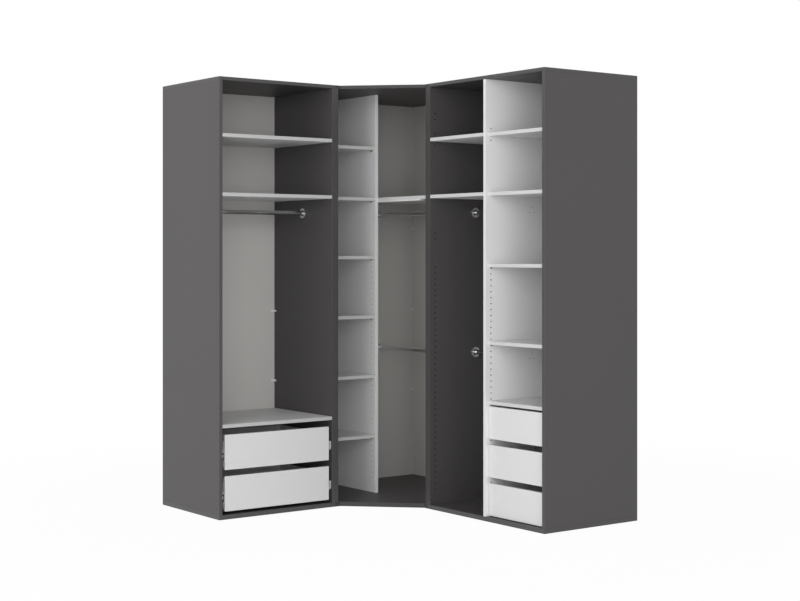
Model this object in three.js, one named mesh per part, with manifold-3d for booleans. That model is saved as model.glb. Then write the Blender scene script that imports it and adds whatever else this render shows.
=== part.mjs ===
// Open corner wardrobe: a wing on the left, a corner cabinet with a diagonal front, and a wing on the right.
// Millimetres, +Z up. The floor is at Z 0 and the origin is under the middle of the whole outline.

import * as THREE from "three";
import * as BufferGeometryUtils from "three/addons/utils/BufferGeometryUtils.js";
import Module from "manifold-3d";

const wasm = await Module();
wasm.setup();

// Outer size
const wardrobeHeight = 2390;
const carcassDepth = 660;
const leftWingWidth = 744;
const cornerWidth = 1034;
const rightWingWidth = 1000;
const cabinetGap = 0.5;

// Boards
const sideThickness = 20;
const topThickness = 19;
const baseThickness = 25;
const shelfThickness = 19;
const dividerThickness = 19;
const backThickness = 8;
const backRecess = 20;
const shelfBackGap = 1;
const flushSetback = 2;
const innerSetback = 22;

// Pin holes of the carcass sides and the shelves that sit on them
const holePitch = 32;
const pinSeatRise = 4;
const topShelfShare = 0.875;
const hatShelfShare = 0.736;

// Right wing: the left compartment's width and the small shelves above the drawer shelf
const leftCompartmentWidth = 480;
const smallShelfShares = [0.657, 0.286];

// Corner cabinet
const frontStub = 33;
const cornerDividerDepth = 487;
const bayFrontSetback = 3;
const bayShelfShares = [0.8694, 0.5951, 0.4461, 0.2966, 0.146];
const stiffenerHeight = 8;
const stiffenerDepth = 30;
const stiffenerEndGap = 84;
const joinOverlap = 1;

// Hanging rails
const railRadius = 12.5;
const railWall = 1.5;
const railEndGap = 0.3;
const rosetteRadius = 29;
const rosetteThickness = 5;
const rosetteChamfer = 2.5;
const socketWall = 3;
const socketLength = 14;
const railSides = 28;
const railDrop = 76;
const railSpacing = 800;
const leftRailSetback = 312;
const rightRailSetback = 326;
const cornerRailDrop = 68;
const cornerRailSpacing = 830;
const cornerRailFromBack = 267;

// Drawers
const frontThickness = 19;
const boxBackClearance = 91;
const boxWall = 15;
const boxBottomThickness = 8;
const boxBottomRaise = 12;
const boxRaise = 11;
const boxDrop = 35;
const leftFrontHeight = 190;
const leftFrontGap = 34;
const leftBottomGap = 17;
const leftCoverGap = 37;
const leftFrontSetback = 6;
const leftSideGap = 18.5;
const leftRunnerSetback = 15;
const rightFrontHeight = 174;
const rightFrontGap = 32;
const rightBottomGap = 4;
const rightShelfGap = 8;
const rightFrontSideGap = 2;
const rightRunnerSpace = 13;
const frontToRunnerGap = 2;

// Drawer runners
const runnerHeight = 45;
const flangeThickness = 2;
const channelDepth = 10;
const runnerFaceGap = 1;
const runnerPlay = 0.5;
const runnerTipPlay = 0.75;

// Heights and depths that all three carcasses share
const undersideOfTop = wardrobeHeight - topThickness;
const innerHeight = undersideOfTop - baseThickness;
const backFace = carcassDepth - backRecess - backThickness;
const shelfBack = backFace - shelfBackGap;
const boxLength = backFace - innerSetback - frontThickness - boxBackClearance;
const holeCount = Math.floor(innerHeight / holePitch) - 1;
const firstHole = baseThickness + (innerHeight - holeCount * holePitch) / 2;
const holeHeight = (index) => firstHole + index * holePitch;
const topShelfHole = Math.round(topShelfShare * holeCount);
const hatShelfHole = Math.round(hatShelfShare * holeCount);
const shelfOnHole = (index) => holeHeight(index) + pinSeatRise;
const hatShelfBottom = shelfOnHole(hatShelfHole);

// Finishes
const finish = (color, roughness, metalness) =>
  new THREE.MeshStandardMaterial({ color, roughness, metalness });
const graphite = finish("#4d4b4c", 0.55, 0);
const lightGrey = finish("#c9c8c6", 0.45, 0);
const backGrey = finish("#a9a6a1", 0.6, 0);
const chrome = finish("#c8c8ca", 0.18, 1);
const coatedSteel = finish("#bfbfbd", 0.5, 0.2);

function named(name, geometry, material) {
  const mesh = new THREE.Mesh(geometry, material);
  mesh.name = name;
  return mesh;
}

// A box given by its two corners, so boards that share a plane meet on exactly the same numbers
function boxBetween(low, high) {
  const geometry = new THREE.BoxGeometry(1, 1, 1);
  const position = geometry.getAttribute("position");
  for (let i = 0; i < position.count; i += 1) {
    const corner = [position.getX(i), position.getY(i), position.getZ(i)];
    const placed = corner.map((side, axis) => (side < 0 ? low[axis] : high[axis]));
    position.setXYZ(i, ...placed);
  }
  return geometry;
}

const board = (name, material, low, high) => named(name, boxBetween(low, high), material);

// Solids for joining and cutting
function solidFrom(geometry) {
  const bare = geometry.clone();
  bare.deleteAttribute("normal");
  bare.deleteAttribute("uv");
  const merged = BufferGeometryUtils.mergeVertices(bare);
  const vertProperties = merged.getAttribute("position").array;
  const triVerts = new Uint32Array(merged.index.array);
  return new wasm.Manifold(new wasm.Mesh({ numProp: 3, vertProperties, triVerts }));
}

const solidBox = (low, high) => solidFrom(boxBetween(low, high));

function geometryFrom(solid) {
  const mesh = solid.getMesh();
  const geometry = new THREE.BufferGeometry();
  geometry.setAttribute("position", new THREE.BufferAttribute(mesh.vertProperties, mesh.numProp));
  geometry.setIndex(new THREE.BufferAttribute(mesh.triVerts, 1));
  geometry.computeVertexNormals();
  return geometry;
}

// A top or base board cut to an outline
function slab(name, material, outline, bottom, thickness) {
  const shape = new THREE.Shape(outline.map(([x, y]) => new THREE.Vector2(x, y)));
  const geometry = new THREE.ExtrudeGeometry(shape, { depth: thickness, bevelEnabled: false });
  geometry.translate(0, 0, bottom);
  return named(name, geometry, material);
}

// A hollow rail with a screwed rosette at each end, turned about its own length
function hangingRail(name, length) {
  const bore = railRadius - railWall;
  const half = length / 2 - railEndGap;
  const rim = rosetteThickness - rosetteChamfer;
  const socketRadius = railRadius + socketWall;
  const end = [
    [bore, 0],
    [rosetteRadius, 0],
    [rosetteRadius, rim],
    [rosetteRadius - rosetteChamfer, rosetteThickness],
    [socketRadius, rosetteThickness],
    [socketRadius, socketLength],
    [railRadius, socketLength],
  ];
  const lower = end.map(([radius, along]) => new THREE.Vector2(radius, along - half));
  const upper = lower.map((point) => new THREE.Vector2(point.x, -point.y)).reverse();
  const profile = [...lower, ...upper, lower[0].clone()];
  return named(name, new THREE.LatheGeometry(profile, railSides), chrome);
}

function railAlongX(name, from, to, y, z) {
  const rail = hangingRail(name, to - from);
  rail.rotation.z = Math.PI / 2;
  rail.position.set((from + to) / 2, y, z);
  return rail;
}

function railAlongY(name, from, to, x, z) {
  const rail = hangingRail(name, to - from);
  rail.position.set(x, (from + to) / 2, z);
  return rail;
}

// A wing's two sides, top, base and back; X runs along its front, Y into its depth
function wingCarcass(prefix, width, leftName, rightName) {
  const wing = new THREE.Group();
  const low = baseThickness;
  const high = undersideOfTop;
  const right = width - sideThickness;
  wing.add(board(prefix + leftName, graphite, [0, 0, low], [sideThickness, carcassDepth, high]));
  wing.add(board(prefix + rightName, graphite, [right, 0, low], [width, carcassDepth, high]));
  wing.add(board(prefix + "top_board", graphite, [0, 0, high], [width, carcassDepth, wardrobeHeight]));
  wing.add(board(prefix + "base_board", graphite, [0, 0, 0], [width, carcassDepth, low]));
  const backTo = [right, backFace + backThickness, high];
  wing.add(board(prefix + "back_panel", backGrey, [sideThickness, backFace, low], backTo));
  return wing;
}

function shelf(name, from, to, setback, bottom) {
  return board(name, lightGrey, [from, setback, bottom], [to, shelfBack, bottom + shelfThickness]);
}

// One drawer with its front, its box and the two runners screwed to the cabinet
function drawer(wing, name, plan) {
  const frontLow = [plan.from + plan.frontSideGap, plan.frontSetback, plan.bottom];
  const frontBack = plan.frontSetback + frontThickness;
  const frontHigh = [plan.to - plan.frontSideGap, frontBack, plan.bottom + plan.frontHeight];
  wing.add(board(name + "_front", lightGrey, frontLow, frontHigh));

  const boxLow = [plan.from + plan.runnerSpace, frontBack, plan.bottom + boxRaise];
  const boxHigh = [plan.to - plan.runnerSpace, frontBack + boxLength, frontHigh[2] - boxDrop];
  const middle = (boxLow[2] + boxHigh[2]) / 2;
  const bottomLow = boxLow[2] + boxBottomRaise;
  const cavityLow = [boxLow[0] + boxWall, frontBack - joinOverlap, bottomLow + boxBottomThickness];
  const cavityHigh = [boxHigh[0] - boxWall, boxHigh[1] - boxWall, boxHigh[2] + joinOverlap];
  const underLow = [cavityLow[0], cavityLow[1], boxLow[2] - joinOverlap];
  const underHigh = [cavityHigh[0], cavityHigh[1], bottomLow];
  const hollow = solidBox(cavityLow, cavityHigh).add(solidBox(underLow, underHigh));
  const reach = runnerFaceGap + channelDepth - runnerTipPlay;
  const sliderHalf = runnerHeight / 2 - flangeThickness - runnerPlay;
  const sliderLow = [boxLow[0] - reach, plan.runnerFront + frontToRunnerGap, middle - sliderHalf];
  sliderLow[1] = Math.max(sliderLow[1], frontBack);
  const sliderHigh = [boxHigh[0] + reach, boxHigh[1], middle + sliderHalf];
  const box = solidBox(boxLow, boxHigh).add(solidBox(sliderLow, sliderHigh)).subtract(hollow);
  wing.add(named(name + "_box", geometryFrom(box), lightGrey));

  wing.add(named(name + "_left_runner", runner(plan, middle, plan.from, 1), coatedSteel));
  wing.add(named(name + "_right_runner", runner(plan, middle, plan.to, -1), coatedSteel));
}

// A channel whose web stands on the cabinet wall and whose flanges hold the drawer's slider
function runner(plan, middle, wall, inwards) {
  const tip = wall + inwards * (plan.runnerSpace - runnerFaceGap);
  const web = tip - inwards * channelDepth;
  const past = tip + inwards * joinOverlap;
  const low = middle - runnerHeight / 2;
  const high = middle + runnerHeight / 2;
  const front = plan.runnerFront;
  const rear = front + boxLength;
  const spanX = (a, b) => [Math.min(a, b), Math.max(a, b)];
  const [outerLow, outerHigh] = spanX(wall, tip);
  const [grooveLow, grooveHigh] = spanX(web, past);
  const body = solidBox([outerLow, front, low], [outerHigh, rear, high]);
  const grooveFrom = [grooveLow, front - joinOverlap, low + flangeThickness];
  const grooveTo = [grooveHigh, rear + joinOverlap, high - flangeThickness];
  return geometryFrom(body.subtract(solidBox(grooveFrom, grooveTo)));
}

// Left wing: two shelves, a rail, a cover shelf and two drawers
function leftWing() {
  const wing = wingCarcass("left_wing_", leftWingWidth, "end_panel", "inner_side");
  const from = sideThickness;
  const to = leftWingWidth - sideThickness;
  wing.add(shelf("left_wing_shelf_1", from, to, flushSetback, shelfOnHole(topShelfHole)));
  wing.add(shelf("left_wing_shelf_2", from, to, flushSetback, hatShelfBottom));
  wing.add(railAlongX("left_wing_hanging_rail", from, to, leftRailSetback, hatShelfBottom - railDrop));
  const step = leftFrontHeight + leftFrontGap;
  const lowest = baseThickness + leftBottomGap;
  ["lower", "upper"].forEach((place, index) => {
    drawer(wing, "left_wing_" + place + "_drawer", {
      from,
      to,
      bottom: lowest + index * step,
      frontHeight: leftFrontHeight,
      frontSetback: leftFrontSetback,
      frontSideGap: leftSideGap,
      runnerSpace: leftSideGap,
      runnerFront: leftRunnerSetback,
    });
  });
  const coverBottom = lowest + step + leftFrontHeight + leftCoverGap;
  wing.add(shelf("left_wing_drawer_cover_shelf", from, to, flushSetback, coverBottom));
  return wing;
}

// Right wing: a hanging compartment on the left, shelves and three drawers on the right
function rightWing() {
  const wing = wingCarcass("right_wing_", rightWingWidth, "inner_side", "end_panel");
  const from = sideThickness;
  const divider = from + leftCompartmentWidth;
  const small = divider + dividerThickness;
  const to = rightWingWidth - sideThickness;
  const dividerTo = [small, backFace, undersideOfTop];
  wing.add(board("right_wing_divider", lightGrey, [divider, 0, baseThickness], dividerTo));
  wing.add(shelf("right_wing_wide_shelf_1", from, divider, flushSetback, shelfOnHole(topShelfHole)));
  wing.add(shelf("right_wing_wide_shelf_2", from, divider, flushSetback, hatShelfBottom));
  const upperRail = hatShelfBottom - railDrop;
  wing.add(railAlongX("right_wing_upper_rail", from, divider, rightRailSetback, upperRail));
  const lowerRail = upperRail - railSpacing;
  wing.add(railAlongX("right_wing_lower_rail", from, divider, rightRailSetback, lowerRail));

  const step = rightFrontHeight + rightFrontGap;
  const lowest = baseThickness + rightBottomGap;
  ["lower", "middle", "upper"].forEach((place, index) => {
    drawer(wing, "right_wing_" + place + "_drawer", {
      from: small,
      to,
      bottom: lowest + index * step,
      frontHeight: rightFrontHeight,
      frontSetback: innerSetback,
      frontSideGap: rightFrontSideGap,
      runnerSpace: rightRunnerSpace,
      runnerFront: innerSetback + frontThickness + frontToRunnerGap,
    });
  });
  const stackTop = lowest + 2 * step + rightFrontHeight + rightShelfGap;
  const drawerShelfHole = Math.ceil((stackTop - pinSeatRise - firstHole) / holePitch);
  const between = hatShelfHole - drawerShelfHole;
  const smallHoles = smallShelfShares.map((share) => drawerShelfHole + Math.round(share * between));
  [topShelfHole, hatShelfHole, ...smallHoles, drawerShelfHole].forEach((hole, index) => {
    wing.add(shelf("right_wing_shelf_" + (index + 1), small, to, innerSetback, shelfOnHole(hole)));
  });
  return wing;
}

// Corner cabinet, drawn from the room's corner: both walls run along the negative axes
function cornerCabinet() {
  const corner = new THREE.Group();
  const low = baseThickness;
  const high = undersideOfTop;
  const stub = cornerWidth - frontStub;
  const inner = cornerWidth - sideThickness;
  const back = backRecess + backThickness;
  const outline = [
    [0, 0],
    [-cornerWidth, 0],
    [-cornerWidth, -carcassDepth],
    [-stub, -carcassDepth],
    [-carcassDepth, -stub],
    [-carcassDepth, -cornerWidth],
    [0, -cornerWidth],
  ];
  corner.add(slab("corner_top_board", graphite, outline, high, topThickness));
  corner.add(slab("corner_base_board", graphite, outline, 0, baseThickness));
  corner.add(board("corner_left_side", graphite, [-cornerWidth, -carcassDepth, low], [-inner, 0, high]));
  corner.add(board("corner_right_side", graphite, [-carcassDepth, -cornerWidth, low], [0, -inner, high]));
  const leftBackTo = [-backRecess, -backRecess, high];
  corner.add(board("corner_back_left", backGrey, [-inner, -back, low], leftBackTo));
  const rightBackTo = [-backRecess, -back, high];
  corner.add(board("corner_back_right", backGrey, [-back, -inner, low], rightBackTo));

  const dividerRight = innerSetback - carcassDepth;
  const dividerLeft = dividerRight - dividerThickness;
  const dividerFront = -back - cornerDividerDepth;
  const dividerTo = [dividerRight, -back, high];
  corner.add(board("corner_divider", lightGrey, [dividerLeft, dividerFront, low], dividerTo));

  const bayFront = dividerFront + bayFrontSetback;
  const bayBack = -back - shelfBackGap;
  const hatTop = hatShelfBottom + shelfThickness;
  const tops = bayShelfShares.map((share) => baseThickness + share * innerHeight);
  tops.splice(1, 0, hatTop);
  tops.forEach((top, index) => {
    const from = [-inner, bayFront, top - shelfThickness];
    corner.add(board("corner_bay_shelf_" + (index + 1), lightGrey, from, [dividerLeft, bayBack, top]));
  });

  corner.add(wideShelf(dividerRight, -back - shelfBackGap, dividerFront, -inner, hatTop));
  const railX = -back - cornerRailFromBack;
  const upperRail = hatShelfBottom - cornerRailDrop;
  corner.add(railAlongY("corner_upper_rail", -inner, -back, railX, upperRail));
  corner.add(railAlongY("corner_lower_rail", -inner, -back, railX, upperRail - cornerRailSpacing));
  return corner;
}

// The long shelf of the corner with a stiffening strip under the free part of its front edge
function wideShelf(front, back, stripFrom, end, top) {
  const bottom = top - shelfThickness;
  const body = solidBox([front, end, bottom], [back, back, top]);
  const stripLow = [front, end + stiffenerEndGap, bottom - stiffenerHeight];
  const stripHigh = [front + stiffenerDepth, stripFrom, bottom + joinOverlap];
  return named("corner_wide_shelf", geometryFrom(body.add(solidBox(stripLow, stripHigh))), lightGrey);
}

// The three cabinets side by side
const left = leftWing();
left.position.set(-cornerWidth - cabinetGap - leftWingWidth, -carcassDepth, 0);
const right = rightWing();
right.rotation.z = -Math.PI / 2;
right.position.set(-carcassDepth, -cornerWidth - cabinetGap, 0);

const wardrobe = new THREE.Group();
wardrobe.name = "corner_wardrobe";
wardrobe.add(left, cornerCabinet(), right);
const spanX = leftWingWidth + cabinetGap + cornerWidth;
const spanY = rightWingWidth + cabinetGap + cornerWidth;
wardrobe.position.set(spanX / 2, spanY / 2, 0);

export default wardrobe;
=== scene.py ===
# Looks of an open corner wardrobe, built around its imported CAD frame. Metres, Z up.
import math

import bpy
from mathutils import Matrix, Vector


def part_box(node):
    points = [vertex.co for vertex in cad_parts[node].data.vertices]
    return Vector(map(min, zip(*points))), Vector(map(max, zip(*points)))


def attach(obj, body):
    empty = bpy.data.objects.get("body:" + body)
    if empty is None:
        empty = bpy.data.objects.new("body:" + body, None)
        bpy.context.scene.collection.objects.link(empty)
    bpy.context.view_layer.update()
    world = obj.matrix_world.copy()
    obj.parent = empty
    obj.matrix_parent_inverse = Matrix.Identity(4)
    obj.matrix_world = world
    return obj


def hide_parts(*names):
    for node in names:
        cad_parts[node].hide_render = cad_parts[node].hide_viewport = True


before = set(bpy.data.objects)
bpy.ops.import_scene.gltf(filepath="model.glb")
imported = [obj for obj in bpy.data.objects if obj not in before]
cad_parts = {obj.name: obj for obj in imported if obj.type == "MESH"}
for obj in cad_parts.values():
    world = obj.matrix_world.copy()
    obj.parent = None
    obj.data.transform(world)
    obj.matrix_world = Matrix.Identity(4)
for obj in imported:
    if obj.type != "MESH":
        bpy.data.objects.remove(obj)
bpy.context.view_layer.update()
print("frame loaded:", len(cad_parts), "nodes")

# The left wing stands along the wall at +Y and the right wing along the wall at +X. A piece is made
# as if its front faced -Y, with X across the front and Y into the depth, and then turned to its
# wing by one of these.
alongY = Matrix.Identity(4)
alongX = Matrix(((0, 1, 0, 0), (-1, 0, 0, 0), (0, 0, 1, 0), (0, 0, 0, 1)))
carcass = "carcass"


# Materials


# One socket of a material, so that shader maths reads as a plain expression
class Wire:
    def __init__(self, tree, socket=None):
        self.tree = tree
        self.socket = socket

    def add(self, kind, settings=None, inputs=None, output=0):
        node = self.tree.nodes.new(kind)
        for key, value in (settings or {}).items():
            if key == "stops":
                for index, (place, colour) in enumerate(value):
                    stops = node.color_ramp.elements
                    stop = stops[index] if index < 2 else stops.new(place)
                    stop.position, stop.color = place, colour
            else:
                setattr(node, key, value)
        for key, value in (inputs or {}).items():
            if isinstance(value, Wire):
                self.tree.links.new(value.socket, node.inputs[key])
            else:
                node.inputs[key].default_value = value
        return Wire(self.tree, node.outputs[output])

    def maths(self, operation, first, second):
        return self.add("ShaderNodeMath", {"operation": operation}, {0: first, 1: second})

    def __add__(self, other):
        return self.maths("ADD", self, other)

    def __radd__(self, other):
        return self.maths("ADD", other, self)

    def __sub__(self, other):
        return self.maths("SUBTRACT", self, other)

    def __rsub__(self, other):
        return self.maths("SUBTRACT", other, self)

    def __mul__(self, other):
        return self.maths("MULTIPLY", self, other)

    def __rmul__(self, other):
        return self.maths("MULTIPLY", other, self)

    def noise(self, place, scale, detail=2.0):
        inputs = {"Vector": place, "Scale": scale, "Detail": detail}
        return self.add("ShaderNodeTexNoise", None, inputs)

    # a Mix node's colours are its sockets 6 and 7, and its mixed colour comes out at 2
    def mixColour(self, factor, first, second):
        return self.add("ShaderNodeMix", {"data_type": "RGBA"}, {0: factor, 6: first, 7: second}, 2)

    # 1 where the camera, a reflection or glass sees the surface, and 0 for the light that it gives
    def seen(self):
        camera, glossy, through = (
            self.add("ShaderNodeLightPath", output=name)
            for name in ("Is Camera Ray", "Is Glossy Ray", "Is Transmission Ray"))
        return camera + glossy + through


noiseMiddle = 0.5


# The darkest and the palest shade of a finish
def shades(look):
    return [tuple(min(1.0, part * share) for part in look["colour"]) + (1.0,)
            for share in (1 - look["spread"], 1 + look["spread"])]


def startMaterial(name, constants):
    material = bpy.data.materials.new(name)
    material.use_nodes = True
    shader = material.node_tree.nodes["Principled BSDF"]
    for key, value in constants.items():
        shader.inputs[key].default_value = value
    wire = Wire(material.node_tree)
    place = wire.add("ShaderNodeTexCoord", output="Object")
    return material, shader, wire, place


def feed(material, shader, wires):
    for key, wire in wires.items():
        material.node_tree.links.new(wire.socket, shader.inputs[key])
    return material


# A melamine face: clouded very slightly, flecked, with the fine emboss of its press plate
def laminate(name, look):
    material, shader, wire, place = startMaterial(name, {"IOR": look["gloss"]})
    cloud = wire.noise(place, look["cloudScale"])
    fleck = wire.noise(place, look["fleckScale"], look["fleckDetail"])
    emboss = wire.noise(place, look["embossScale"], look["embossDetail"])
    tone = cloud * (1 - look["fleckShare"]) + fleck * look["fleckShare"]
    height = emboss * look["embossShare"] + fleck * (1 - look["embossShare"])
    return feed(material, shader, {
        "Base Color": wire.mixColour(tone, *shades(look)),
        "Roughness": look["roughness"] + (fleck - noiseMiddle) * look["roughnessSpread"],
        "Normal": wire.add("ShaderNodeBump", None, {
            "Strength": look["bump"], "Distance": look["depth"], "Height": height}),
    })


# Every laminate starts from the graphite one. A band is smoother than the face of its board
lightColour = (0.65, 0.65, 0.65)
drawerColour = (0.62, 0.62, 0.62)
graphiteLook = {
    "colour": (0.0560, 0.0522, 0.0538), "spread": 0.07, "cloudScale": 2.3,
    "fleckScale": 340.0, "fleckDetail": 3.0, "fleckShare": 0.45,
    "embossScale": 1500.0, "embossDetail": 1.0, "embossShare": 0.7,
    "roughness": 0.46, "roughnessSpread": 0.12, "bump": 0.16, "depth": 0.00012, "gloss": 1.46,
}
graphiteBandLook = {
    **graphiteLook, "spread": 0.03, "roughness": 0.36, "roughnessSpread": 0.06, "bump": 0.08}
lightLook = {**graphiteLook, "colour": lightColour, "spread": 0.025}
lightBandLook = {**graphiteBandLook, "colour": lightColour, "spread": 0.015}
graphiteFace = laminate("graphiteLaminate", graphiteLook)
graphiteBand = laminate("graphiteEdgeBand", graphiteBandLook)
# The corner boards' band is a shade darker than the graphite band: painted shade for the dimmer
# light in the corner. It is also rougher and less glossy, to spread its highlight
cornerShadeBand = laminate("cornerEdgeBand", {
    **graphiteBandLook, "colour": (0.0500, 0.0466, 0.0480), "roughness": 0.62, "gloss": 1.3})
lightFace = laminate("lightGreyLaminate", lightLook)
lightBand = laminate("lightGreyEdgeBand", lightBandLook)
# The dividers' laminate is a lighter copy of the light grey one: painted light, for the light that
# reaches deep into the bays
dividerLitFace = laminate("dividerLaminate", {**lightLook, "colour": (0.73, 0.73, 0.73)})
drawerFace = laminate("drawerLaminate", {**lightLook, "colour": drawerColour})
drawerBand = laminate("drawerEdgeBand", {**lightBandLook, "colour": drawerColour})
# The shelves' front bands are darker than their boards: painted shade on the shelf fronts
shelfShadeBand = laminate("shelfEdgeBand", {**lightBandLook, "colour": (0.54, 0.54, 0.54)})
# The left wing's shelf fronts are darker still: deeper painted shade
deepShadeShelfBand = laminate("dullShelfBand", {**lightBandLook, "colour": (0.45, 0.45, 0.45)})
backFace = laminate("backPanelLacquer", {
    **graphiteLook, "colour": (0.53, 0.517, 0.498), "spread": 0.035, "roughness": 0.5,
    "fleckScale": 520.0})


# Pressed fibres or chips, as in a drilled hole or on the unseen side of a back panel
def fibreboard(name, look):
    material, shader, wire, place = startMaterial(name, {"Roughness": look["roughness"]})
    chips = wire.add("ShaderNodeTexVoronoi", None, {"Vector": place, "Scale": look["chipScale"]})
    fibres = wire.noise(place, look["fibreScale"], fibreLook["detail"])
    tone = chips * fibreLook["chipShare"] + fibres * fibreLook["fibreShare"]
    ramp = wire.add("ShaderNodeValToRGB", {"stops": look["tones"]}, {"Fac": tone})
    bump = wire.add("ShaderNodeBump", None, {
        "Strength": fibreLook["bump"], "Distance": fibreLook["depth"], "Height": tone})
    return feed(material, shader, {"Base Color": ramp, "Normal": bump})


fibreLook = {"detail": 4.0, "chipShare": 0.6, "fibreShare": 0.5, "bump": 0.3, "depth": 0.0002}
# The chipboard in the drilled holes is near black: painted shade for the shadow deep inside them
holeShadeChipboard = fibreboard("drilledChipboard", {
    "chipScale": 420.0, "fibreScale": 900.0, "roughness": 0.85,
    "tones": [(0.2, (0.004, 0.0034, 0.0028, 1)), (0.85, (0.018, 0.014, 0.010, 1))],
})
backRear = fibreboard("backPanelRear", {
    "chipScale": 240.0, "fibreScale": 420.0, "roughness": 0.7,
    "tones": [(0.15, (0.30, 0.275, 0.245, 1)), (0.9, (0.37, 0.345, 0.31, 1))],
})


# Metal and moulded parts: faint smears in the gloss and a little relief
def hardware(name, changes):
    look = {**hardwareLook, **changes}
    constants = {"Metallic": look["metallic"], "IOR": look["gloss"]}
    material, shader, wire, place = startMaterial(name, constants)
    smear = wire.noise(place, look["smearScale"], look["smearDetail"])
    grain = wire.noise(place, look["grainScale"])
    tone = smear * look["smearShare"] + grain * (1 - look["smearShare"])
    return feed(material, shader, {
        "Base Color": wire.mixColour(tone, *shades(look)),
        "Roughness": look["roughness"] + (smear - noiseMiddle) * look["roughnessSpread"],
        "Normal": wire.add("ShaderNodeBump", None, {
            "Strength": look["bump"], "Distance": look["depth"], "Height": grain}),
    })


# Bare metal, unless a part says otherwise
hardwareLook = {
    "metallic": 1.0, "gloss": 1.5, "smearDetail": 3.0, "smearShare": 0.6, "depth": 0.0001}
chromeLook = {
    "colour": (0.62, 0.62, 0.63), "spread": 0.04, "roughness": 0.08, "roughnessSpread": 0.06,
    "smearScale": 38.0, "grainScale": 700.0, "bump": 0.012,
}
plateLook = {
    "colour": (0.86, 0.86, 0.86), "spread": 0.04, "roughness": 0.14, "roughnessSpread": 0.06,
    "smearScale": 60.0, "grainScale": 900.0, "bump": 0.02,
}
coatedLook = {
    "colour": (0.52, 0.52, 0.51), "spread": 0.03, "metallic": 0.0, "roughness": 0.38,
    "roughnessSpread": 0.1, "smearScale": 60.0, "grainScale": 900.0, "bump": 0.12,
}
plasticLook = {
    "colour": (0.82, 0.82, 0.81), "spread": 0.03, "metallic": 0.0, "roughness": 0.4,
    "roughnessSpread": 0.1, "smearScale": 90.0, "grainScale": 1200.0, "bump": 0.1,
}
chrome = hardware("polishedChrome", chromeLook)
# The corner's rails: a brighter copy of the chrome, painted light so that they read about as light
# as the panels behind them
cornerChrome = hardware("cornerChrome", {**chromeLook, "colour": (0.84, 0.84, 0.84)})
plateChrome = hardware("plateChrome", plateLook)
# The rosettes' sockets: a much darker copy of the plate's chrome, painted shade that damps their
# highlight
socketChrome = hardware("socketChrome", {
    **plateLook, "colour": (0.30, 0.30, 0.305), "spread": 0.06, "roughness": 0.30,
    "roughnessSpread": 0.08})
# The shelf pins' nickel is darkened: painted shade for the pins in the shadow under the shelves
pinPaintedShadeSteel = hardware("darkNickel", {
    "colour": (0.24, 0.235, 0.23), "spread": 0.1, "roughness": 0.3, "roughnessSpread": 0.1,
    "smearScale": 150.0, "grainScale": 1300.0, "bump": 0.08})
zinc = hardware("zincPlate", {
    "colour": (0.50, 0.51, 0.52), "spread": 0.12, "roughness": 0.34, "roughnessSpread": 0.15,
    "smearScale": 150.0, "grainScale": 1300.0, "bump": 0.1})
coatedSteel = hardware("coatedSteel", coatedLook)
# The right slider cap's steel is a darker copy of the coated steel: painted shade
capSteel = hardware("capSteel", {**coatedLook, "colour": (0.39, 0.39, 0.385)})
clipPlastic = hardware("clipPlastic", plasticLook)
# Near black: painted shade for the floors of small recesses, the screws' cross slots and the
# pockets in the left slider caps
darkPlastic = hardware("darkPlastic", {
    **plasticLook, "colour": (0.022, 0.022, 0.022), "spread": 0.1, "roughness": 0.5})
print("materials made")


# Modelling steps that many pieces share


def pickOnly(*pieces):
    bpy.ops.object.select_all(action="DESELECT")
    for piece in pieces:
        piece.select_set(True)
    bpy.context.view_layer.objects.active = pieces[0]


def settle(piece, name):
    piece.name = name
    pickOnly(piece)
    bpy.ops.object.transform_apply(location=True, rotation=True, scale=True)
    return piece


# The lowest and the highest corner of the box between two opposite corners
def boxCorners(corner, opposite):
    pairs = list(zip(corner, opposite))
    return Vector([min(pair) for pair in pairs]), Vector([max(pair) for pair in pairs])


def block(name, corner, opposite):
    low, high = boxCorners(corner, opposite)
    bpy.ops.object.select_all(action="DESELECT")
    bpy.ops.mesh.primitive_cube_add(size=1, location=(low + high) / 2)
    piece = bpy.context.object
    piece.scale = high - low
    return settle(piece, name)


# A disc or bar whose axis runs along X, from the first X to the second
def roundBar(name, radius, fromX, toX, y=0.0, z=0.0, sides=24, caps="NGON"):
    bpy.ops.object.select_all(action="DESELECT")
    bpy.ops.mesh.primitive_cylinder_add(
        vertices=sides, radius=radius, depth=toX - fromX, end_fill_type=caps,
        location=((fromX + toX) / 2, y, z), rotation=(0, math.pi / 2, 0))
    return settle(bpy.context.object, name)


def modify(piece, kind, **settings):
    pickOnly(piece)
    modifier = piece.modifiers.new(kind, kind)
    for key, value in settings.items():
        setattr(modifier, key, value)
    bpy.ops.object.modifier_apply(modifier=modifier.name)


sharpEdge = 0.6  # an edge that turns by more radians than this is eased


def easeEdges(piece, width, segments=2):
    modify(piece, "BEVEL", width=width, segments=segments, limit_method="ANGLE",
           angle_limit=sharpEdge)


def cutAway(piece, cutter):
    modify(piece, "BOOLEAN", object=cutter, operation="DIFFERENCE", solver="EXACT",
           material_mode="TRANSFER")
    bpy.data.objects.remove(cutter)


def give(piece, *materials):
    piece.data.materials.clear()
    for material in materials:
        piece.data.materials.append(material)
    return piece


def smooth(piece, degrees=35):
    pickOnly(piece)
    bpy.ops.object.shade_smooth_by_angle(angle=math.radians(degrees))
    return piece


def copyPiece(master, name, placing):
    piece = master.copy()
    piece.data = master.data.copy()
    piece.data.transform(placing)
    piece.name = name
    bpy.context.collection.objects.link(piece)
    return piece


def joinPieces(name, pieces):
    pickOnly(*pieces)
    if len(pieces) > 1:
        bpy.ops.object.join()
    pieces[0].name = name
    return pieces[0]


# A face points along X if its normal reaches this far, and lies at the tip within this slack
faceTest = {"normal": 0.9, "slack": 1e-6}


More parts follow.
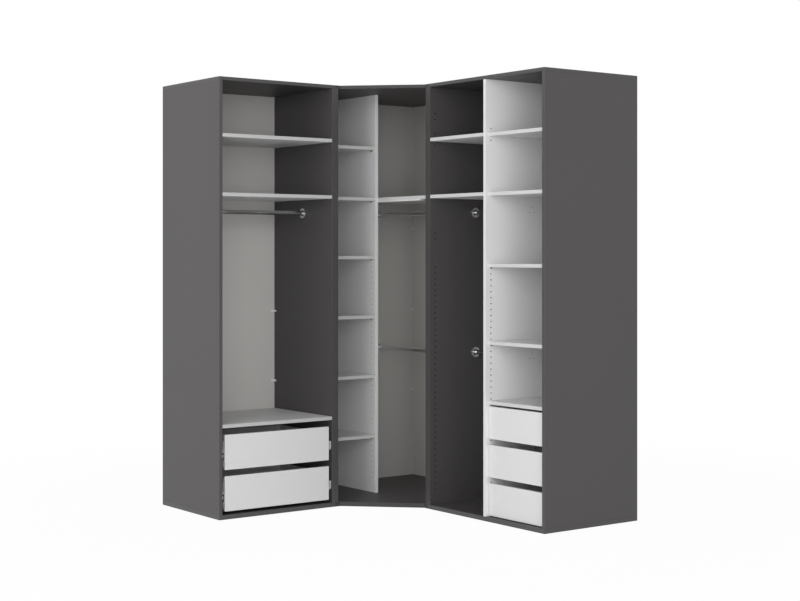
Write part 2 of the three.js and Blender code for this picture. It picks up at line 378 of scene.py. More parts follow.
# Steps on the face at a piece's tip along X: inset it, raise it on new sides, or slide it
def growFace(piece, steps):
    tip = max(vertex.co.x for vertex in piece.data.vertices) - faceTest["slack"]
    pickOnly(piece)
    bpy.ops.object.mode_set(mode="EDIT")
    bpy.ops.mesh.select_mode(type="FACE")
    bpy.ops.mesh.select_all(action="DESELECT")
    bpy.ops.object.mode_set(mode="OBJECT")
    for face in piece.data.polygons:
        face.select = face.normal.x > faceTest["normal"] and face.center.x > tip
    bpy.ops.object.mode_set(mode="EDIT")
    for step, amount in steps:
        if step == "inset":
            bpy.ops.mesh.inset(thickness=amount)
        elif step == "raise":
            bpy.ops.mesh.extrude_region_move(TRANSFORM_OT_translate={"value": (amount, 0, 0)})
        else:
            bpy.ops.transform.translate(value=(amount, 0, 0))
    bpy.ops.object.mode_set(mode="OBJECT")
    return piece


# A node's box as its wing sees it, before the turn
def boxIn(node, turn):
    back = turn.inverted()
    return boxCorners(*(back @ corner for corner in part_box(node)))


def pieceName(node, ending=""):
    first, *rest = node.split("_")
    return first + "".join(word.capitalize() for word in rest) + ending


def settleIn(piece, turn, body=carcass, nodes=()):
    if turn != alongY:
        piece.data.transform(turn)
    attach(piece, body)
    if nodes:
        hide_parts(*nodes)
    return piece


# An edge band wraps a narrow side, and its joint is a fine line on the wide faces
def bandEdges(piece, sides, thickness):
    for side in sides:
        axis = "xyz".index(side[1])
        outward = 1 if side[0] == "+" else -1
        reach = max(outward * vertex.co[axis] for vertex in piece.data.vertices)
        seam = outward * (reach - thickness)
        pickOnly(piece)
        bpy.ops.object.mode_set(mode="EDIT")
        bpy.ops.mesh.select_all(action="SELECT")
        across = [outward if index == axis else 0 for index in range(3)]
        bpy.ops.mesh.bisect(plane_co=[seam * abs(part) for part in across], plane_no=across)
        bpy.ops.object.mode_set(mode="OBJECT")
        for face in piece.data.polygons:
            if (face.center[axis] - seam) * outward > 0:
                face.material_index = 1


# Blind holes in the face at faceX; each column has its place in Y, its lowest hole and a count. The
# radii are those of the holes in graphite sides, in light dividers and around the narrow bay
drilling = {"pitch": 0.032, "depth": 0.011, "sides": 12,
            "dark": 0.0043, "light": 0.0038, "bay": 0.0026}


def drill(piece, faceX, columns, radius):
    cutters = []
    for y, z, count in columns:
        reach = drilling["depth"]
        cutter = roundBar("cutter", radius, faceX - reach, faceX + reach, y, z, drilling["sides"])
        if count > 1:
            modify(cutter, "ARRAY", count=count, use_relative_offset=False,
                   use_constant_offset=True, constant_offset_displace=(0, 0, drilling["pitch"]))
        cutters.append(cutter)
    # the holes' walls take the near-black chipboard, which is painted shade
    cutAway(piece, give(joinPieces("cutter", cutters), holeShadeChipboard))


# Boards

# a shelf's front band carries painted shade
shelfLook = {"face": lightFace, "band": shelfShadeBand, "slot": "light_grey_board",
             "ease": 0.0005, "bandThickness": 0.0011}
boards = {
    "graphite": {"face": graphiteFace, "band": graphiteBand, "slot": "graphite_board",
                 "ease": 0.0009, "bandThickness": 0.0013},
    # a divider takes the lighter laminate, with its painted light
    "divider": {**shelfLook, "face": dividerLitFace, "band": lightBand, "ease": 0.0007},
    "shelf": shelfLook,
    # the left wing's shelves take the band with the deeper painted shade
    "dullShelf": {**shelfLook, "band": deepShadeShelfBand},
}


# A node's board, shorter by a clearance at each end, and higher underneath where a strip goes there
def board(node, turn, kind, bands, clear=0.0, raised=0.0):
    make = boards[kind]
    low, high = boxIn(node, turn)
    low.z += raised
    ends = Vector((clear, 0, 0))
    piece = block(pieceName(node), low + ends, high - ends)
    give(piece, make["face"], make["band"])
    easeEdges(piece, make["ease"])
    bandEdges(piece, bands, make["bandThickness"])
    return piece


def fitBoard(piece, node, turn):
    return settleIn(piece, turn, carcass, [node])


# Pin holes: the depths of their columns behind the front edge, and runs of holes, each with its
# lowest one and a count
wingDepths = (0.037, 0.581)
bayDepths = (0.037, 0.453)
fullColumn = [(0.110, 40)]
upperHoles = [(1.518, 2), (2.190, 2)]
wideShelfHoles = [(2.0435, 1), (2.1075, 1)]
cornerShelfHoles = [(1.742, 1)]
pinDrop = 0.004  # from a shelf's underside down to the middle of its pins


def columnsAt(front, depths, heights):
    return [(front + depth, z, count) for depth in depths for z, count in heights]


wings = {"left_wing": alongY, "right_wing": alongX}
leftShelves = ["left_wing_shelf_1", "left_wing_shelf_2", "left_wing_drawer_cover_shelf"]
wideShelves = ["right_wing_wide_shelf_1", "right_wing_wide_shelf_2"]
smallShelves = ["right_wing_shelf_%d" % number for number in range(1, 6)]
bayShelves = ["corner_bay_shelf_%d" % number for number in range(1, 7)]


def pinHeights(shelves, turn):
    return [(boxIn(shelf, turn)[0].z - pinDrop, 1) for shelf in shelves]


# Graphite sides: which face is drilled, and the heights of its holes
leftHoles = pinHeights(leftShelves, alongY)
bayHoles = fullColumn + pinHeights(bayShelves, alongY)
sides = {
    "left_wing_end_panel": (alongY, "high", leftHoles),
    "left_wing_inner_side": (alongY, "low", leftHoles),
    "corner_left_side": (alongY, "high", bayHoles),
    "corner_right_side": (alongX, "low", cornerShelfHoles),
    "right_wing_inner_side": (alongX, "high", fullColumn + upperHoles + wideShelfHoles),
    "right_wing_end_panel": (alongX, "low", fullColumn + upperHoles),
}
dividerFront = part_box("corner_divider")[0].y
for node, (turn, face, heights) in sides.items():
    piece = board(node, turn, "graphite", ["-y", "+y"])
    low, high = boxIn(node, turn)
    faceX = high.x if face == "high" else low.x
    if node == "corner_left_side":  # its columns stand as far back as the narrow bay's divider
        drill(piece, faceX, columnsAt(dividerFront, bayDepths, heights), drilling["bay"])
    else:
        drill(piece, faceX, columnsAt(low.y, wingDepths, heights), drilling["dark"])
    fitBoard(piece, node, turn)
print("sides made")

# Top and base boards
for wing, turn in wings.items():
    outer = "-x" if wing == "left_wing" else "+x"
    for place in ("top_board", "base_board"):
        node = wing + "_" + place
        fitBoard(board(node, turn, "graphite", ["-y", "+y", outer]), node, turn)

# The corner's top and base lose a notch with a diagonal side, where the two wings meet. The
# diagonal is the line on which X and Y add up to diagonalSum
notch = {"inner": (0.22925, 0.35725), "reach": 0.6, "diagonalSum": 0.2455, "over": 0.01,
         "faceNormal": 0.5}
for place in ("top_board", "base_board"):
    node = "corner_" + place
    low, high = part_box(node)
    piece = give(block(pieceName(node), low, high), graphiteFace, cornerShadeBand)
    innerX, innerY = notch["inner"]
    outerX, outerY = innerX - notch["reach"], innerY - notch["reach"]
    cutter = block("cutter", (outerX, outerY, low.z - notch["over"]),
                   (innerX, innerY, high.z + notch["over"]))
    give(cutter, graphiteFace)
    pickOnly(cutter)
    bpy.ops.object.mode_set(mode="EDIT")
    bpy.ops.mesh.select_all(action="SELECT")
    bpy.ops.mesh.bisect(plane_co=(notch["diagonalSum"], 0, 0), plane_no=(1, 1, 0),
                        use_fill=True, clear_outer=True)
    bpy.ops.object.mode_set(mode="OBJECT")
    cutAway(piece, cutter)
    easeEdges(piece, boards["graphite"]["ease"])
    # the narrow sides take the corner band, with its painted shade
    for face in piece.data.polygons:
        face.material_index = 1 if abs(face.normal.z) < notch["faceNormal"] else 0
    settleIn(piece, alongY, carcass, [node])
print("top and base boards made")

# Back panels: lacquered inside, plain fibreboard towards the wall
backLook = {"ease": 0.0004, "seam": 0.003, "faceNormal": -0.9}
backPanels = {
    "left_wing_back_panel": alongY, "corner_back_left": alongY,
    "corner_back_right": alongX, "right_wing_back_panel": alongX,
}
for node, turn in backPanels.items():
    low, high = boxIn(node, turn)
    if node == "corner_back_right":
        low.x += backLook["seam"]  # a fine dark joint where the two panels meet
    piece = give(block(pieceName(node), low, high), backFace, backRear)
    easeEdges(piece, backLook["ease"], segments=1)
    for face in piece.data.polygons:
        face.material_index = 0 if face.normal.y < backLook["faceNormal"] else 1
    settleIn(piece, turn, carcass, [node])
print("back panels made")

# Spots on a ring round a rail's axis, where the screws of its rosettes go in
screwAngles = (90, 210, 330)


def ringSpots(radius):
    return [(radius * math.cos(math.radians(angle)), radius * math.sin(math.radians(angle)))
            for angle in screwAngles]


# Dividers: the right wing's shows the screw holes of the two rails' rosettes too
rosetteHoles = {"ring": 0.020, "radius": 0.0026}
node = "right_wing_divider"
low, high = boxIn(node, alongX)
piece = board(node, alongX, "divider", ["-y"])
for faceX, extraHoles in ((low.x, upperHoles), (high.x, wideShelfHoles)):
    drill(piece, faceX, columnsAt(low.y, wingDepths, fullColumn + extraHoles), drilling["light"])
for rail in ("right_wing_upper_rail", "right_wing_lower_rail"):
    middle = sum(boxIn(rail, alongX), Vector()) / 2
    ring = [(middle.y + y, middle.z + z, 1) for y, z in ringSpots(rosetteHoles["ring"])]
    drill(piece, high.x, ring, rosetteHoles["radius"])
fitBoard(piece, node, alongX)

node = "corner_divider"
low, high = boxIn(node, alongY)
piece = board(node, alongY, "divider", ["-y"])
drill(piece, low.x, columnsAt(low.y, bayDepths, bayHoles), drilling["bay"])
drill(piece, high.x, columnsAt(low.y, bayDepths, cornerShelfHoles), drilling["light"])
fitBoard(piece, node, alongY)
print("dividers made")

# Shelves, a hair shorter than the space between the sides
shelfEndGap = 0.0008
# The left wing's shelves take the band with the deeper painted shade
for group, turn, kind in (
    (leftShelves, alongY, "dullShelf"), (bayShelves, alongY, "shelf"),
    (wideShelves, alongX, "shelf"), (smallShelves, alongX, "shelf"),
):
    for node in group:
        fitBoard(board(node, turn, kind, ["-y"], shelfEndGap), node, turn)

# The corner's long shelf, with a stiffening strip under the free part of its front edge
stripLook = {"height": 0.008, "depth": 0.030, "endGap": 0.084, "ease": 0.0012}
node = "corner_wide_shelf"
longShelf = board(node, alongX, "shelf", ["-y"], shelfEndGap, stripLook["height"])
fitBoard(longShelf, node, alongX)
low, high = boxIn(node, alongX)
strip = block("cornerWideShelfStrip", (-dividerFront, low.y, low.z), (
    high.x - stripLook["endGap"], low.y + stripLook["depth"], low.z + stripLook["height"]))
easeEdges(give(strip, lightBand), stripLook["ease"])
settleIn(strip, alongX)
print("shelves made")


# Small hardware, modelled once and copied


# Shares of a screw head's radius and height
headShares = {"rim": 0.22, "dome": 0.35, "slotWidth": 0.13, "slotLength": 0.58,
              "slotFloor": 0.7, "darkBelow": 0.75, "cutterTop": 2}
screwSides = 20


def crossScrew(name, radius, height):
    head = roundBar(name, radius, 0, height, sides=screwSides)
    growFace(head, [("inset", radius * headShares["rim"]), ("slide", height * headShares["dome"])])
    wide, long = radius * headShares["slotWidth"], radius * headShares["slotLength"]
    for y, z in ((wide, long), (long, wide)):
        cutter = block("cutter", (height * headShares["slotFloor"], -y, -z),
                       (height * headShares["cutterTop"], y, z))
        cutAway(head, give(cutter, darkPlastic))
    give(head, zinc, darkPlastic)
    # the floor of the cross slot takes the near-black painted shade
    for face in head.data.polygons:
        inSlot = face.center.x < height * headShares["darkBelow"]
        if inSlot and face.normal.x > faceTest["normal"]:
            face.material_index = 1
    return smooth(head)


smallScrew = crossScrew("smallScrew", radius=0.0034, height=0.0013)
boardScrew = crossScrew("boardScrew", radius=0.0046, height=0.0008)

pinLook = {"head": 0.004, "headLength": 0.0085, "headSides": 16, "ease": 0.0007,
           "shank": 0.0024, "shankLength": 0.007, "shankSides": 12}
shelfPin = roundBar("shelfPin", pinLook["shank"], -pinLook["shankLength"], 0.0,
                    sides=pinLook["shankSides"])
pinHead = roundBar("pinHead", pinLook["head"], 0.0, pinLook["headLength"],
                   sides=pinLook["headSides"])
easeEdges(pinHead, pinLook["ease"])
# the pins take the darkened steel, which is painted shade
shelfPin = smooth(give(joinPieces("shelfPin", [shelfPin, pinHead]), pinPaintedShadeSteel))

half = Matrix.Rotation(math.pi, 4, "Z")
quarter = Matrix.Rotation(math.pi / 2, 4, "Z")


# Moves a piece made along +X to its spot, and turns it round where it faces -X
def towards(x, y, z, facing):
    placing = Matrix.Translation((x, y, z))
    return placing if facing > 0 else placing @ half


# Four pins carry each shelf; the right wing's upper ones are doweled, and show none
def pinShelf(node, turn, depths):
    low, high = boxIn(node, turn)
    z = low.z - pinDrop
    pins = [copyPiece(shelfPin, "pin", towards(x, y, z, facing))
            for x, facing in ((low.x, 1), (high.x, -1)) for y in depths]
    settleIn(joinPieces(pieceName(node, "Pins"), pins), turn)


for group, turn, frontNode, depths in (
    (leftShelves, alongY, "left_wing_end_panel", wingDepths),
    (smallShelves[2:], alongX, "right_wing_divider", wingDepths),
    (bayShelves, alongY, "corner_divider", bayDepths),
):
    front = boxIn(frontNode, turn)[0].y
    for node in group:
        pinShelf(node, turn, [front + depth for depth in depths])

# The long corner shelf rests on the divider and on the right side
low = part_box("corner_wide_shelf")[0]
z = low.z + stripLook["height"] - pinDrop
pins = [copyPiece(shelfPin, "pin", Matrix.Translation((low.x, dividerFront + depth, z)))
        for depth in bayDepths]
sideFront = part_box("corner_right_side")[0].x
pins += [copyPiece(shelfPin, "pin", Matrix.Translation((sideFront + depth, low.y, z)) @ quarter)
         for depth in wingDepths]
settleIn(joinPieces("cornerWideShelfPins", pins), alongY)
print("shelf pins made")

# Hanging rails: a chromed tube in two sockets, each on a rosette with three screws
rosetteLook = {
    "radius": 0.029, "thickness": 0.0032, "sides": 48, "smoothing": 30,
    "edgeRise": 0.0009, "edgeWidth": 0.0011, "slopeWidth": 0.0021, "dome": 0.0012,
    "collar": 0.0168, "collarRise": 0.0010, "screwRing": 0.0214,
    "socket": 0.0155, "socketLength": 0.0142, "lipWidth": 0.0008, "lipRise": 0.0006,
    "mouthWidth": 0.0021, "mouthDepth": 0.006,
}
plateFront = rosetteLook["thickness"] + rosetteLook["dome"]
domeWidth = (rosetteLook["radius"] - rosetteLook["edgeWidth"] - rosetteLook["slopeWidth"]
             - rosetteLook["collar"])
rosette = roundBar("rosette", rosetteLook["radius"], 0, rosetteLook["thickness"],
                   sides=rosetteLook["sides"])
growFace(rosette, [
    ("raise", rosetteLook["edgeRise"]), ("inset", rosetteLook["edgeWidth"]),
    ("inset", rosetteLook["slopeWidth"]), ("slide", rosetteLook["dome"] - rosetteLook["edgeRise"]),
    ("inset", domeWidth), ("raise", rosetteLook["collarRise"]),
    ("inset", rosetteLook["collar"] - rosetteLook["socket"]),
    ("raise", rosetteLook["socketLength"] - plateFront - rosetteLook["collarRise"]),
    ("inset", rosetteLook["lipWidth"]), ("slide", rosetteLook["lipRise"]),
    ("inset", rosetteLook["mouthWidth"]), ("raise", -rosetteLook["mouthDepth"]),
])
give(rosette, plateChrome, socketChrome)
# the socket and collar take the darker chrome, which is painted shade
for face in rosette.data.polygons:
    fromAxis = math.hypot(face.center.y, face.center.z)
    inSocket = fromAxis < rosetteLook["collar"] and face.center.x > rosetteLook["thickness"]
    face.material_index = 1 if inSocket else 0
smooth(rosette, rosetteLook["smoothing"])
screws = [copyPiece(smallScrew, "screw", Matrix.Translation((plateFront, y, z)))
          for y, z in ringSpots(rosetteLook["screwRing"])]
rosette = joinPieces("rosette", [rosette] + screws)

tubeLook = {"radius": 0.0125, "wall": 0.0015, "sides": 40, "inSocket": 0.004}
rails = {
    "left_wing_hanging_rail": (alongY, chrome),
    # the corner's rails take the brighter chrome, which is painted light
    "corner_upper_rail": (alongX, cornerChrome), "corner_lower_rail": (alongX, cornerChrome),
    "right_wing_upper_rail": (alongX, chrome), "right_wing_lower_rail": (alongX, chrome),
}
for node, (turn, metal) in rails.items():
    low, high = boxIn(node, turn)
    y, z = (low.y + high.y) / 2, (low.z + high.z) / 2
    inset = rosetteLook["socketLength"] - tubeLook["inSocket"]
    tube = roundBar(pieceName(node), tubeLook["radius"], low.x + inset, high.x - inset, y, z,
                    tubeLook["sides"], caps="NOTHING")
    modify(tube, "SOLIDIFY", thickness=tubeLook["wall"], offset=-1)
    settleIn(smooth(give(tube, metal)), turn, carcass, [node])
    for end, x, facing in (("Left", low.x, 1), ("Right", high.x, -1)):
        piece = copyPiece(rosette, pieceName(node, end + "Rosette"), towards(x, y, z, facing))
        settleIn(piece, turn, carcass, [node])
print("rails made")

# Clips that hold the back panels into their corners
clipLook = {"arm": 0.022, "height": 0.010, "thickness": 0.0024, "ease": 0.0007, "over": 0.01,
            "screwShare": 0.6, "screwSize": 0.75, "screwSink": 0.0002, "seamSize": 0.55}
arm, flat, height = clipLook["arm"], clipLook["thickness"], clipLook["height"]
clip = block("clip", (0, -arm, 0), (arm, 0, height))
cutAway(clip, block("cutter", (flat, -2 * arm, -clipLook["over"]),
                    (2 * arm, -flat, height + clipLook["over"])))
easeEdges(give(clip, clipPlastic), clipLook["ease"])
screwSpot = (flat - clipLook["screwSink"], -arm * clipLook["screwShare"], height / 2)
clipScrew = copyPiece(smallScrew, "clipScrew", Matrix.Translation(screwSpot)
                      @ Matrix.Scale(clipLook["screwSize"], 4))
clip = joinPieces("clip", [clip, clipScrew])

wingClips, seamClips = (1.093, 0.677, 0.36), (1.595, 1.081, 0.570)
clips = {
    "left_wing_back_panel": (alongY, wingClips, 1.0),
    "right_wing_back_panel": (alongX, wingClips, 1.0),
    "corner_back_left": (alongY, seamClips, clipLook["seamSize"]),
}
unturned, clockwise = Matrix.Identity(4), Matrix.Rotation(-math.pi / 2, 4, "Z")
for node, (turn, heights, size) in clips.items():
    low, high = boxIn(node, turn)
    corners = [(low.x, unturned), (high.x, clockwise)]
    if node == "corner_back_left":  # only where the corner's two panels meet
        corners = [(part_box("corner_back_right")[0].x, clockwise)]
    group = []
    for x, turned in corners:
        for z in heights:
            spot = Matrix.Translation((x, low.y, z - size * height / 2))
            group.append(copyPiece(clip, "clip", spot @ Matrix.Scale(size, 4) @ turned))
    settleIn(joinPieces(pieceName(node, "Clips"), group), turn)

# Countersunk screws through the top boards into the sides
upwards = Matrix.Rotation(-math.pi / 2, 4, "Y")
topScrewLook = {"fromEdge": 0.06, "sink": 0.0005}
topScrews = {
    "left_wing_top_board": (alongY, ("left_wing_end_panel", "left_wing_inner_side")),
    "right_wing_top_board": (alongX, ("right_wing_inner_side", "right_wing_end_panel")),
    "corner_top_board": (alongY, ("corner_left_side",)),
}
for node, (turn, under) in topScrews.items():
    top = boxIn(node, turn)[1].z - topScrewLook["sink"]
    group = []
    for side in under:
        low, high = boxIn(side, turn)
        front, rear = low.y + topScrewLook["fromEdge"], high.y - topScrewLook["fromEdge"]
        for y in (front, (low.y + high.y) / 2, rear):
            placing = Matrix.Translation(((low.x + high.x) / 2, y, top)) @ upwards
            group.append(copyPiece(boardScrew, "topScrew", placing))
    settleIn(joinPieces(pieceName(node, "Screws"), group), turn)
print("clips and screws made")

# Drawers
camLook = {"radius": 0.0075, "thickness": 0.0008, "sides": 28,
           "rimWidth": 0.001, "rise": 0.0005, "slotFromRim": 0.0035, "slotDepth": 0.0007}
cam = roundBar("cam", camLook["radius"], 0, camLook["thickness"], sides=camLook["sides"])
growFace(cam, [("inset", camLook["rimWidth"]), ("slide", camLook["rise"]),
               ("inset", camLook["slotFromRim"]), ("raise", -camLook["slotDepth"])])
smooth(give(cam, clipPlastic))

frontLook = {"ease": 0.0022, "easeSteps": 3, "faceNormal": 0.95}
boxLook = {"wall": 0.015, "ease": 0.0012, "bandThickness": 0.001,
           "bottom": 0.008, "bottomRaise": 0.012, "bottomEase": 0.0004}
sliderLook = {"reach": 0.01025, "half": 0.020, "rim": 0.0035, "depth": 0.006, "ease": 0.0006,
              "screwShares": (0.12, 0.5, 0.88)}
fixingLook = {"fromBottom": 0.032, "fromTop": 0.0192, "screwFromRear": 0.0075, "screwSink": 0.0003,
              "camFromFront": 0.033, "camSink": 0.0002}


def boxBoard(name, low, high, turn, body, node):
    piece = give(block(name, low, high), lightFace, lightBand)
    easeEdges(piece, boxLook["ease"])
    bandEdges(piece, ["+z"], boxLook["bandThickness"])
    return settleIn(piece, turn, body, [node])


# The slider screwed to a drawer's side, a bar with a groove on the side of the runner
def slider(name, wallX, facing, fromY, toY, middle):
    bar = block(name, (0, fromY, middle - sliderLook["half"]),
                (sliderLook["reach"], toY, middle + sliderLook["half"]))
    growFace(bar, [("inset", sliderLook["rim"]), ("raise", -sliderLook["depth"])])
    easeEdges(bar, sliderLook["ease"])
    give(bar, coatedSteel, darkPlastic)
    grooveX = sliderLook["reach"] - sliderLook["depth"]
    screws = [copyPiece(smallScrew, "screw", Matrix.Translation(
        (grooveX, fromY + share * (toY - fromY), middle))) for share in sliderLook["screwShares"]]
    bar = joinPieces(name, [bar] + screws)
    if facing < 0:
        bar.data.transform(Matrix.Scale(-1, 4, (1, 0, 0)))
        bar.data.flip_normals()
    bar.data.transform(Matrix.Translation((wallX, 0, 0)))
    return bar


def drawer(prefix, turn, body, hasCaps):
    frontNode, boxNode = prefix + "_front", prefix + "_box"
    low, high = boxIn(frontNode, turn)
    front = give(block(pieceName(frontNode), low, high), drawerFace, drawerBand)
    easeEdges(front, frontLook["ease"], frontLook["easeSteps"])
    for face in front.data.polygons:
        face.material_index = 0 if abs(face.normal.y) > frontLook["faceNormal"] else 1
    settleIn(front, turn, body, [frontNode])

    low, high = boxIn(boxNode, turn)
    name, wall, rear = pieceName(prefix), boxLook["wall"], high.y
    left, right = low.x + sliderLook["reach"], high.x - sliderLook["reach"]
    for part, fromX, toX, fromY in (
        ("LeftSide", left, left + wall, low.y),
        ("RightSide", right - wall, right, low.y),
        ("Back", left + wall, right - wall, rear - wall),
    ):
        boxBoard(name + part, (fromX, fromY, low.z), (toX, rear, high.z), turn, body, boxNode)
    floorLow = low.z + boxLook["bottomRaise"]
    bottom = block(name + "Bottom", (left + wall, low.y, floorLow),
                   (right - wall, rear - wall, floorLow + boxLook["bottom"]))
    easeEdges(give(bottom, backFace), boxLook["bottomEase"], segments=1)
    settleIn(bottom, turn, body, [boxNode])

    middle = (low.z + high.z) / 2
    for side, wallX, facing in (("Left", left, -1), ("Right", right, 1)):
        bar = slider(name + side + "Slider", wallX, facing, low.y, rear, middle)
        settleIn(bar, turn, body, [boxNode])

    # screws into the back from outside, and cams inside the sides at the front
    fixings = []
    screwY, screwSink = rear - fixingLook["screwFromRear"], fixingLook["screwSink"]
    camY, camSink = low.y + fixingLook["camFromFront"], fixingLook["camSink"]
    for z in (low.z + fixingLook["fromBottom"], high.z - fixingLook["fromTop"]):
        for master, x, y, facing in (
            (boardScrew, left - screwSink, screwY, -1),
            (boardScrew, right + screwSink, screwY, 1),
            (cam, left + wall - camSink, camY, 1),
            (cam, right - wall + camSink, camY, -1),
        ):
            fixings.append(copyPiece(master, "fixing", towards(x, y, z, facing)))
    settleIn(joinPieces(name + "Fixings", fixings), turn, body)

    if hasCaps:
        endCaps(name, turn, body, (left, right), low.y, middle)


# In the left wing the sliders' ends show beside the fronts: a full cap on the right, in steel
# darkened as painted shade, and on the left a taller one with two pockets whose insides are painted
# shade
capLook = {"length": 0.008, "lower": 0.0105, "half": 0.020, "tallHalf": 0.0262, "ease": 0.001,
           "tallEase": 0.0005, "pocketFromCentre": 0.0148, "pocketHalf": 0.0062,
           "pocketEnd": 0.001, "overSide": 0.002, "overFront": 0.01}


def endCaps(name, turn, body, walls, frontY, middle):
    near = frontY - capLook["length"]
    centre = middle - capLook["lower"]
    half, tallHalf = capLook["half"], capLook["tallHalf"]
    rightX, leftX = walls[1] + sliderLook["reach"], walls[0] - sliderLook["reach"]
    right = block("cap", (walls[1], near, centre - half), (rightX, frontY, centre + half))
    # the right cap takes the darker steel, which is painted shade
    easeEdges(give(right, capSteel), capLook["ease"])
    left = block("cap", (leftX, near, centre - tallHalf), (walls[0], frontY, centre + tallHalf))
    give(left, coatedSteel)
    pocketX, pocketY = walls[0] - capLook["pocketEnd"], frontY - capLook["pocketEnd"]
    pastX, pastY = leftX - capLook["overSide"], near - capLook["overFront"]
    # the pockets' insides take the near-black painted shade
    for away in (-capLook["pocketFromCentre"], capLook["pocketFromCentre"]):
        z = centre + away
        pocket = block("cutter", (pastX, pastY, z - capLook["pocketHalf"]),
                       (pocketX, pocketY, z + capLook["pocketHalf"]))
        cutAway(left, give(pocket, darkPlastic))
    easeEdges(left, capLook["tallEase"], segments=1)
    settleIn(joinPieces(name + "EndCaps", [right, left]), turn, body)


drawers = {
    "left_wing_lower_drawer": (alongY, "left_lower_drawer", True),
    "left_wing_upper_drawer": (alongY, "left_upper_drawer", True),
    "right_wing_lower_drawer": (alongX, "right_lower_drawer", False),
    "right_wing_middle_drawer": (alongX, "right_middle_drawer", False),
    "right_wing_upper_drawer": (alongX, "right_upper_drawer", False),
}
for prefix, (turn, body, hasCaps) in drawers.items():
    drawer(prefix, turn, body, hasCaps)
print("drawers made")

# Runners on the cabinet's sides: a steel channel, in the left wing on a spacer strip
runnerLook = {"width": 0.012, "depth": 0.010, "flange": 0.002, "mouth": 0.013, "ease": 0.0007,
              "overEnd": 0.01, "overSide": 0.002, "overEdge": 0.001,
              "screwShares": (0.07, 0.5, 0.9)}
spacerLook = {"least": 0.001, "ease": 0.0008}  # where the channel is this near its side, no spacer
for prefix, (turn, body, hasCaps) in drawers.items():
    for side in ("left", "right"):
        node = prefix + "_" + side + "_runner"
        low, high = boxIn(node, turn)
        inwards = 1 if side == "left" else -1
        wallX, tipX = (low.x, high.x) if side == "left" else (high.x, low.x)
        backX = tipX - inwards * runnerLook["width"]
        webX = tipX - inwards * runnerLook["depth"]
        pastX = tipX + inwards * runnerLook["overSide"]
        nearY, farY = low.y - runnerLook["overEnd"], high.y + runnerLook["overEnd"]
        flange = low.z + runnerLook["flange"]
        channel = block(pieceName(node), (backX, low.y, low.z), (tipX, high.y, high.z))
        cutAway(channel, block("cutter", (webX, nearY, flange),
                               (pastX, farY, high.z - runnerLook["flange"])))
        if hasCaps:  # the lower flange starts behind the slider's cap
            cutAway(channel, block(
                "cutter", (webX, nearY, low.z - runnerLook["overEdge"]),
                (pastX, low.y + runnerLook["mouth"], flange + runnerLook["overEdge"])))
        easeEdges(channel, runnerLook["ease"])
        give(channel, coatedSteel, darkPlastic)
        middle = (low.z + high.z) / 2
        screws = [copyPiece(smallScrew, "screw", towards(
            webX, low.y + share * (high.y - low.y), middle, inwards))
            for share in runnerLook["screwShares"]]
        channel = joinPieces(pieceName(node), [channel] + screws)
        settleIn(channel, turn, carcass, [node])
        if abs(backX - wallX) > spacerLook["least"]:
            spacer = block(pieceName(node, "Spacer"),
                           (wallX, low.y, low.z), (backX, high.y, high.z))
            # the spacer's front band is the shelves' band, with its painted shade
            easeEdges(give(spacer, lightFace, shelfShadeBand), spacerLook["ease"])
            bandEdges(spacer, ["-y"], shelfLook["bandThickness"])
            settleIn(spacer, turn, carcass, [node])
print("runners made")

# The copied pieces' masters aren't part of the wardrobe
for master in (smallScrew, boardScrew, shelfPin, rosette, clip, cam):
    bpy.data.objects.remove(master)

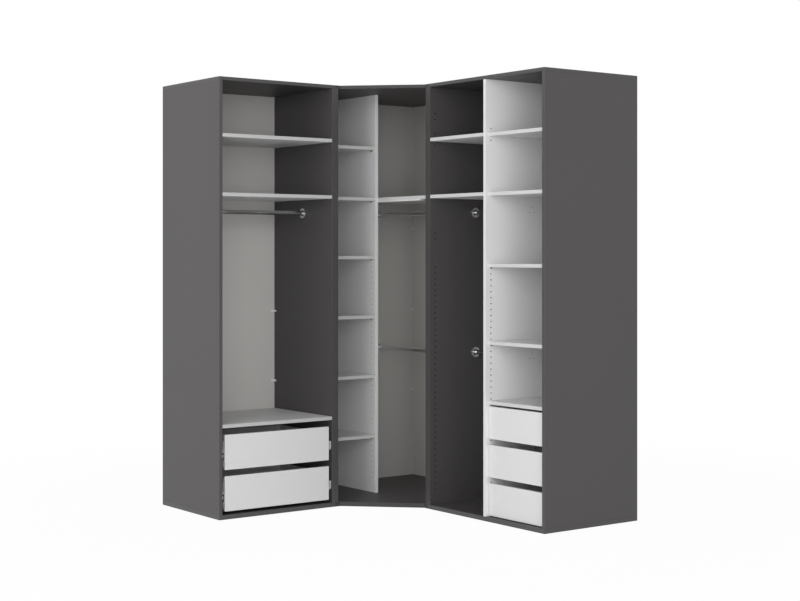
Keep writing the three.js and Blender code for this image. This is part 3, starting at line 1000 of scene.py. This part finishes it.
# Floor, light and camera. Near the wardrobe the floor keeps its shadow, and further off it fades
# into the white backdrop
floorLook = {"size": 60.0, "colour": (0.86, 0.86, 0.86, 1), "roughness": 0.9,
             "whiteNear": 0.96, "fadeFrom": 1.9, "fadeTo": 4.5}
bpy.ops.object.select_all(action="DESELECT")
bpy.ops.mesh.primitive_plane_add(size=floorLook["size"], location=(0, 0, 0))
floor = bpy.context.object
floor.name = "floor"
floorPaint, shader, wire, place = startMaterial("paleFloor", {
    "Base Color": floorLook["colour"], "Roughness": floorLook["roughness"]})
white = wire.add("ShaderNodeEmission", None, {"Strength": 1.0})
distance = wire.add("ShaderNodeVectorMath", {"operation": "LENGTH"}, {0: place}, "Value")
whiteness = wire.add("ShaderNodeMapRange", {"interpolation_type": "SMOOTHSTEP"}, {
    "Value": distance, "From Min": floorLook["fadeFrom"], "From Max": floorLook["fadeTo"],
    "To Min": floorLook["whiteNear"], "To Max": 1.0})
paint = wire.add("ShaderNodeMixShader", None, {
    0: wire.seen() * whiteness, 1: Wire(wire.tree, shader.outputs[0]), 2: white})
wire.tree.links.new(paint.socket, wire.tree.nodes["Material Output"].inputs["Surface"])
give(floor, floorPaint)

daylight, backdrop = 0.58, 1.0  # strengths of the light from all round and of the white behind
world = bpy.data.worlds.new("studio")
bpy.context.scene.world = world
world.use_nodes = True
wire = Wire(world.node_tree)
lit, shown = (wire.add("ShaderNodeBackground", None, {"Color": (1, 1, 1, 1), "Strength": strength})
              for strength in (daylight, backdrop))
sky = wire.add("ShaderNodeMixShader", None, {0: wire.seen(), 1: lit, 2: shown})
wire.tree.links.new(sky.socket, wire.tree.nodes["World Output"].inputs["Surface"])

lamps = {
    "keyPanel": {"at": (-7.7, -2.2, 2.4), "aim": (0.1, 0.0, 1.1), "size": 7.0, "power": 345.0},
    "frontPanel": {"at": (-4.7, -8.8, 1.9), "aim": (0.0, 0.2, 1.1), "size": 7.0, "power": 460.0},
}
for name, look in lamps.items():
    bpy.ops.object.light_add(type="AREA", location=look["at"])
    lamp = bpy.context.object
    lamp.name = name
    lamp.data.shape = "DISK"
    lamp.data.size = look["size"]
    lamp.data.energy = look["power"]
    aim = Vector(look["aim"]) - Vector(look["at"])
    lamp.rotation_euler = aim.to_track_quat("-Z", "Y").to_euler()

view = {"at": (-4.9547, -6.9766, 1.4323), "turned": -37.57,
        "sensor": 36.0, "lens": 69.39, "shift": (-0.0645, -0.0580)}
bpy.ops.object.camera_add(
    location=view["at"], rotation=(math.pi / 2, 0, math.radians(view["turned"])))
camera = bpy.context.object
camera.data.sensor_width = view["sensor"]
camera.data.lens = view["lens"]
camera.data.shift_x, camera.data.shift_y = view["shift"]
bpy.context.scene.camera = camera
bpy.context.scene.view_settings.view_transform = "Standard"
print("floor, light and camera set")
